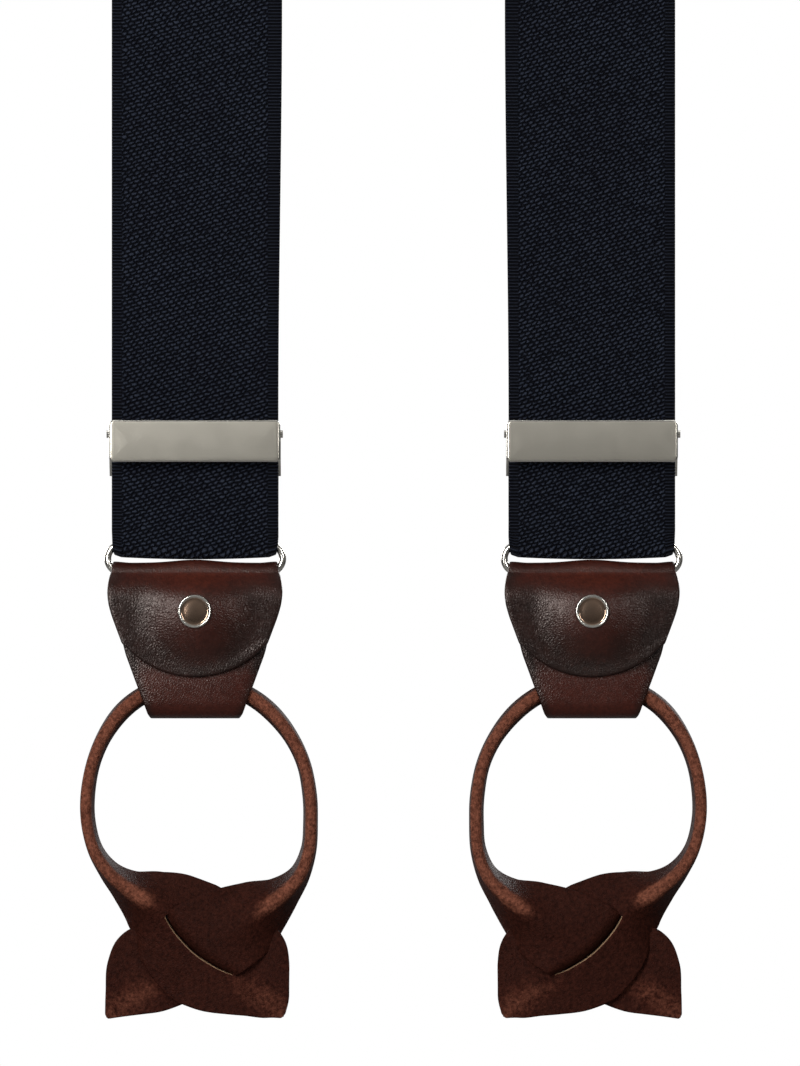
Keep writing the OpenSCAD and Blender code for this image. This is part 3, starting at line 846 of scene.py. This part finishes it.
# The crease of the folded strap, from the tip of the ear at the bottom right, round the loop, and
# through that ear's buttonhole to the tip of the other ear at the bottom left.
# Each point: x, y, z, how many degrees the wings fold back from flat, and the reach of the wing
# inside and outside the loop.
RUNNER_ROUTE = [
    (18.8, -0.6, -97.8, 2, 0.5, 0.6),
    (17.2, -0.7, -96.1, 3, 4.0, 2.8),
    (14.6, -0.9, -93.9, 4, 8.4, 5.0),
    (11.6, -1.0, -91.4, 4, 11.8, 7.7),
    (7.6, -1.1, -88.1, 5, 13.2, 10.9),
    (4.0, -1.2, -84.9, 7, 13.0, 12.7),
    (0.6, -1.4, -81.9, 9, 12.2, 12.6),
    (-3.0, -1.7, -78.7, 13, 11.4, 11.6),
    (-6.4, -2.1, -75.8, 24, 10.0, 10.0),
    (-10.4, -2.6, -73.1, 45, 8.8, 8.8),
    (-14.6, -3.2, -70.4, 68, 8.2, 8.2),
    (-18.4, -3.8, -67.0, 80, 7.8, 7.8),
    (-21.4, -4.1, -62.4, 85, 7.6, 7.6),
    (-22.9, -4.2, -56.6, 86, 7.6, 7.6),
    (-23.0, -4.2, -50.6, 86, 7.4, 7.4),
    (-21.8, -4.0, -44.0, 86, 6.8, 6.8),
    (-19.3, -3.5, -38.0, 84, 6.0, 6.0),
    (-15.6, -2.9, -32.9, 80, 5.0, 5.0),
    (-11.0, -2.2, -29.4, 76, 3.8, 3.8),
    (-6.0, -1.7, -27.6, 72, 3.2, 3.2),
    (0.0, -1.6, -26.9, 72, 3.0, 3.0),
    (6.0, -1.7, -27.6, 72, 3.2, 3.2),
    (11.2, -2.2, -29.4, 76, 3.8, 3.8),
    (16.0, -2.9, -32.9, 80, 5.0, 5.0),
    (20.2, -3.5, -38.0, 84, 6.0, 6.0),
    (23.1, -4.0, -44.0, 86, 6.8, 6.8),
    (24.4, -4.2, -50.6, 86, 7.4, 7.4),
    (24.6, -4.2, -56.6, 86, 7.6, 7.6),
    (24.2, -4.3, -62.4, 85, 7.6, 7.6),
    (22.2, -4.4, -67.8, 80, 7.8, 7.8),
    (18.4, -4.4, -72.0, 66, 8.0, 8.0),
    (13.8, -4.2, -75.4, 40, 8.4, 8.2),
    (9.4, -3.8, -78.4, 18, 9.0, 8.6),
    (5.0, -3.5, -81.0, 7, 9.5, 8.8),
    (0.8, -3.4, -83.4, 3, 9.8, 8.8),
    (-3.4, -3.4, -86.1, 3, 9.4, 8.4),
    (-7.0, -3.4, -88.8, 4, 11.4, 7.8),
    (-10.6, -3.4, -91.6, 4, 10.9, 6.4),
    (-13.8, -3.4, -94.0, 4, 8.2, 4.3),
    (-16.6, -3.4, -96.2, 3, 3.9, 2.2),
    (-18.9, -3.4, -98.1, 2, 0.4, 0.4),
]
RUNNER_T = 1.1
CREASE_R = 0.62  # radius of the fold's middle layer where the strap is closed
CREASE_OUT = 0.26  # how far out of the loop the closed crease lies from the route
SLIT = [(-6.0, -76.2), (-3.5, -79.7), (0.5, -83.9), (4.5, -86.7), (8.2, -88.8)]
SLIT_GAP = 2.0
BEHIND_Y = 1.9  # the ear's middle layer once it is through the buttonhole


def beside_slit(x, z):
    """How far a point lies to the upper right of the buttonhole's line."""
    line = spline([(a, 0, b) for a, b in SLIT], 60)
    first, last = line[0], line[-1]
    along = unit(last - first)
    across = np.array([-along[2], 0, along[0]])
    t = (x - first[0]) * along[0] + (z - first[2]) * along[2]
    mark = (line - first) @ along
    bow = np.interp(t, mark, (line - first) @ across)
    return (x - first[0]) * across[0] + (z - first[2]) * across[2] - bow


def runner_sections(cols=33, rows=420):
    """The strap's middle surface: a grid of points, with how much each is crease."""
    route = spline(RUNNER_ROUTE, rows)
    centre = route[:, :3]
    angle = np.radians(route[:, 3])
    heading = centre.copy()
    heading[:, 1] = 0
    heading = unit(np.gradient(heading, axis=0))
    back = np.array([0.0, 1.0, 0.0])
    inward = unit(np.cross(np.tile(back, (rows, 1)), heading))
    centre = centre - inward * (CREASE_OUT * angle / (math.pi / 2))[:, None]
    u = np.linspace(-1, 1, cols)
    grid = np.zeros((rows, cols, 3))
    crease = np.zeros((rows, cols))
    steps = 16
    for j in range(cols):
        # the wing inside the loop stands a little more open, so that its dark side shows
        lean = 0.99 if u[j] > 0 else 1.02
        reach = abs(u[j]) ** 0.9 * (route[:, 4] if u[j] > 0 else route[:, 5])
        bend = CREASE_R * np.maximum(angle, 0.05) + 1.6 * (1 - angle / 1.5)
        out, depth = np.zeros(rows), np.zeros(rows)
        for k in range(steps):
            turn = lean * angle * np.minimum(1.0, reach * (k + 0.5) / steps / bend)
            out += np.cos(turn) * reach / steps
            depth += np.sin(turn) * reach / steps
        grid[:, j] = centre + inward * (out * np.sign(u[j]))[:, None] + back * depth[:, None]
        crease[:, j] = np.exp(-(reach / 1.5) ** 2)
    return grid, crease, route


def dive(grid, first_row):
    """Sends the second ear through the first one's buttonhole and out behind it."""
    part = grid[first_row:]
    d = beside_slit(part[:, :, 0], part[:, :, 2])
    flat = smooth(np.linspace(0, 1, len(part)) * 4)[:, None]
    share = smooth((1.1 - d) / 2.2) * flat
    near = smooth((9.0 - d) / 8.0) * flat
    y = part[:, :, 1]
    front = y * (1 - near) + (y * 0.25 - 1.9) * near
    crown = 0.9 * bump_at(d, 7.0)
    behind = BEHIND_Y + 0.25 * (y + 3.4) + 0.5 * crown
    part[:, :, 1] = (front - 0.2 * crown) * (1 - share) + behind * share
    return grid


def slit_cutter(end):
    """A thin curved wall along the buttonhole, which opens the first ear there."""
    line = spline([(a, 0, b) for a, b in SLIT], 24)
    heading = unit(np.gradient(line, axis=0))
    side = np.stack([-heading[:, 2], np.zeros(len(line)), heading[:, 0]], axis=1)
    taper = np.sin(np.linspace(0.08, math.pi - 0.08, len(line))) ** 0.35
    upper = line + side * (taper * SLIT_GAP / 2)[:, None]
    verts = []
    # the lower lip slopes, so that its raw edge shows from the front
    for y, reach in ((-5.0, 2.3), (0.4, 0.45)):
        lower = (line - side * (taper * reach)[:, None])[::-1]
        verts += [(p[0], y, p[2]) for p in list(upper) + list(lower)]
    count = len(verts) // 2
    faces = [tuple(range(count)), tuple(range(2 * count - 1, count - 1, -1))]
    faces += [(k, (k + 1) % count, count + (k + 1) % count, count + k) for k in range(count)]
    return mesh_object(f"slit_cutter_{end}", to_world(end, verts), faces, CUT_EDGE)


def cut_slit(obj, end):
    """Cuts the buttonhole out of the ear's own mesh."""
    cutter = slit_cutter(end)
    obj.data.materials.append(CUT_EDGE)
    mod = obj.modifiers.new("Slit", "BOOLEAN")
    mod.operation = "DIFFERENCE"
    mod.solver = "EXACT"
    mod.material_mode = "TRANSFER"
    mod.object = cutter
    apply_modifiers(obj)
    bpy.data.objects.remove(cutter)


def runner(end):
    grid, crease, route = runner_sections()
    middle = int(np.argmin(np.abs(route[:, 0]) + np.abs(route[:, 2] + 27)))
    opening = int(np.argmax((route[:, 3] < 60) & (np.arange(len(route)) > middle)))
    grid = dive(grid, opening)
    closed = smooth((route[:, 3:4] - 20) / 45)
    tips = smooth((-86 - grid[:, :, 2]) / 8)
    wide = crease ** 0.3
    wear = np.clip(0.85 * crease * closed + 0.55 * closed * wide ** 2 + 0.48 * tips * wide ** 0.6, 0, 1)
    burn_and_shade = np.clip(0.66 - 0.54 * wide * closed - 0.45 * tips * wide ** 0.6, 0, 1)
    fields = {"burn_and_shade": burn_and_shade, "wear": wear}
    for name, rows in (("under", slice(0, middle + 1)), ("over", slice(middle, len(route)))):
        part = {key: value[rows] for key, value in fields.items()}
        obj = shell(f"runner_ear_{name}_{end}", end, grid[rows], RUNNER_T, RUNNER, 0.38, part)
        if name == "under":
            cut_slit(obj, end)
            dress(obj, f"runner_{end}", "runner_leather", f"runner_{end}")
        else:
            dress(obj, f"runner_{end}", "runner_leather")


# ---- back patch -----------------------------------------------------------------------------

def patch_outline(inset):
    """The patch's outline in the plane of the back, from the CAD patch's box."""
    low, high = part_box("back_patch")
    top, bottom = high.z / MM - inset, low.z / MM + inset
    half_top = high.x / MM - inset
    half_bottom = half_top - 17.0
    points = []
    for cx, cz, r, start, stop in ((half_top - 6, top - 6, 6, 90, 0), (half_top - 6, top - 22, 6, 0, -38),
                                   (half_bottom - 5, bottom + 5, 5, -38, -90)):
        for a in np.radians(np.linspace(start, stop, 9)):
            points.append((cx + r * math.cos(a), cz + r * math.sin(a)))
    return points + [(-x, z) for x, z in points[::-1]]


def patch_plate(name, node, facing, crown):
    """A leather plate with a turned edge. facing is the side of y that its good face lies on, and
    crown the share of its thickness by which its middle rises."""
    low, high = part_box(node)
    foot, face_y = (low.y / MM, high.y / MM) if facing > 0 else (high.y / MM, low.y / MM)
    outline = np.array(patch_outline(0.0))
    centre = outline.mean(axis=0)
    verts = []
    levels = [(1.0, 0.0), (1.0, 0.75), (0.985, 0.95), (0.96, 1.0), (0.90, 1.0), (0.885, 0.93),
              (0.87, 1.0), (0.6, 1.12), (0.3, 1.18), (0.05, 1.2)]
    for scale, lift in levels:
        lift = min(lift, 1.0) + max(lift - 1.0, 0) * crown
        y = foot + (face_y - foot) * lift
        verts += [(x, y, z) for x, z in centre + (outline - centre) * scale]
    faces = band(len(levels), len(outline), capped=True)
    obj = mesh_object(name, to_world(None, verts), faces, LEATHER)
    for face in obj.data.polygons:
        face.use_smooth = len(face.vertices) == 4
    spread = [max(abs(v.co.x) / 0.038, abs(v.co.z - centre[1] * MM) / 0.033) for v in obj.data.vertices]
    set_field(obj, "burn_and_shade", [0.25 + 0.7 * float(smooth((s - 0.55) / 0.5)) for s in spread])
    set_field(obj, "wear", [0.15 for s in spread])
    dress(obj, "root", "leather", node)


def patch_stitches():
    outline = np.array(patch_outline(3.2))
    closed = np.vstack([outline, outline[:1]])
    s = np.concatenate([[0], np.cumsum(np.linalg.norm(np.diff(closed, axis=0), axis=1))])
    count = int(s[-1] / 3.2)
    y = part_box("back_patch")[1].y / MM
    spots = []
    for at in (np.arange(count) + 0.5) * s[-1] / count:
        x, z = np.interp(at, s, closed[:, 0]), np.interp(at, s, closed[:, 1])
        x2, z2 = np.interp(at + 0.3, s, closed[:, 0]), np.interp(at + 0.3, s, closed[:, 1])
        direction = unit(np.array([x2 - x, 0.0, z2 - z]))
        spots.append((np.array([x, y - 0.02, z]), direction, np.array([0, 1.0, 0])))
    verts, faces = stitch_row(spots, 2.3, 0.34)
    stitches = mesh_object("patch_stitches", to_world(None, verts), faces, THREAD)
    dress(stitches, "root", "thread", "back_patch_stitching")


# ---- the whole ------------------------------------------------------------------------------

for end in FRONTS:
    front_strap(end)
    return_strap(end)
    bar_tack(f"bar_tack_{end}", end, 1.95, (10.0, 13.0), f"adjuster_{end}", f"webbing_end_stitching_{end}")
    lever(end)
    pin_and_frame(end)
back_strap()
bar_tack("bar_tack_back", "back", 0.55, (17.0, 20.0, 26.0), "root", "back_strap_stitching")
for end in ENDS:
    ring(end)
    tab(end)
    flap(end)
    press_stud(end)
    runner(end)
patch_plate("patch_leather", "back_patch", facing=1, crown=0.5)
patch_plate("patch_lining", "back_patch_lining", facing=-1, crown=-0.01)
patch_stitches()


# ---- camera, floor and light ----------------------------------------------------------------

def camera():
    """A long lens, level with the front ends, framing them as the picture does."""
    frame_h = 0.2282
    distance = 2.2
    left, right = ring_middle("left"), ring_middle("right")
    centre = Vector(((left.x + right.x) / 2 + 0.0014, left.y - 0.003, left.z + 0.0055))
    data = bpy.data.cameras.new("camera")
    data.lens = data.sensor_width * distance / frame_h
    obj = bpy.data.objects.new("camera", data)
    obj.location = centre + Vector((0, -distance, 0))
    obj.rotation_euler = (math.pi / 2, 0, 0)
    bpy.context.scene.collection.objects.link(obj)
    bpy.context.scene.camera = obj
    return centre


def area_light(name, place, target, size, power):
    data = bpy.data.lights.new(name, "AREA")
    data.shape = "RECTANGLE"
    data.size, data.size_y = size
    data.energy = power
    obj = bpy.data.objects.new(name, data)
    obj.location = place
    obj.rotation_euler = (Vector(target) - Vector(place)).to_track_quat("-Z", "Y").to_euler()
    bpy.context.scene.collection.objects.link(obj)


def studio_world():
    """A white background for the picture, and for light and gloss a dimmer studio that darkens
    towards the floor."""
    world = bpy.data.worlds.new("studio")
    world.use_nodes = True
    nodes, links = world.node_tree.nodes, world.node_tree.links
    white = nodes["Background"]
    white.inputs["Color"].default_value = (1, 1, 1, 1)
    room = nodes.new("ShaderNodeBackground")
    split = nodes.new("ShaderNodeSeparateXYZ")
    links.new(nodes.new("ShaderNodeTexCoord").outputs["Generated"], split.inputs[0])
    shade = nodes.new("ShaderNodeMapRange")
    shade.inputs["From Min"].default_value = -0.35
    shade.inputs["From Max"].default_value = 0.6
    shade.inputs["To Min"].default_value = 0.05
    shade.inputs["To Max"].default_value = 0.30
    links.new(split.outputs[2], shade.inputs["Value"])
    links.new(shade.outputs["Result"], room.inputs["Strength"])
    pick = nodes.new("ShaderNodeMixShader")
    links.new(nodes.new("ShaderNodeLightPath").outputs["Is Camera Ray"], pick.inputs[0])
    links.new(room.outputs[0], pick.inputs[1])
    links.new(white.outputs[0], pick.inputs[2])
    links.new(pick.outputs[0], nodes["World Output"].inputs["Surface"])
    return world


def surroundings(target):
    floor_material = Nodes("floor")
    floor_material.set(Roughness=0.9)
    seen = floor_material.add("ShaderNodeLightPath").outputs["Is Camera Ray"]
    floor_material.use("Base Color", floor_material.mix(seen, (0.15, 0.15, 0.15), (0.85, 0.85, 0.85)))
    floor_material.shader.inputs["Emission Color"].default_value = (1, 1, 1, 1)
    floor_material.use("Emission Strength", floor_material.math("MULTIPLY", seen, 0.45))
    mesh = bpy.data.meshes.new("floor")
    work = bmesh.new()
    bmesh.ops.create_circle(work, cap_ends=True, segments=96, radius=1.3)
    work.to_mesh(mesh)
    work.free()
    mesh.materials.append(floor_material.material)
    floor = bpy.data.objects.new("floor", mesh)
    floor.location = (0, 0, cad_box[0].z - 0.35)
    bpy.context.scene.collection.objects.link(floor)
    bpy.context.scene.world = studio_world()
    x, y, z = target
    area_light("key", (x - 0.54, y - 1.0, z + 0.28), target, (0.22, 0.75), 12)
    area_light("fill", (x + 0.56, y - 1.0, z + 0.26), target, (0.08, 0.4), 2.6)
    middle = (0, 0, (cad_box[0].z + cad_box[1].z) / 2)
    area_light("behind_left", (0.9, 1.3, middle[2] + 0.45), middle, (0.6, 0.8), 20)
    area_light("behind_right", (-1.0, 1.2, middle[2] + 0.1), middle, (0.5, 0.8), 11)
    area_light("top", (0, 0.3, 1.0), middle, (1.2, 0.8), 7)


middle_of_view = camera()
surroundings(middle_of_view)
bpy.context.scene.view_settings.view_transform = "Standard"
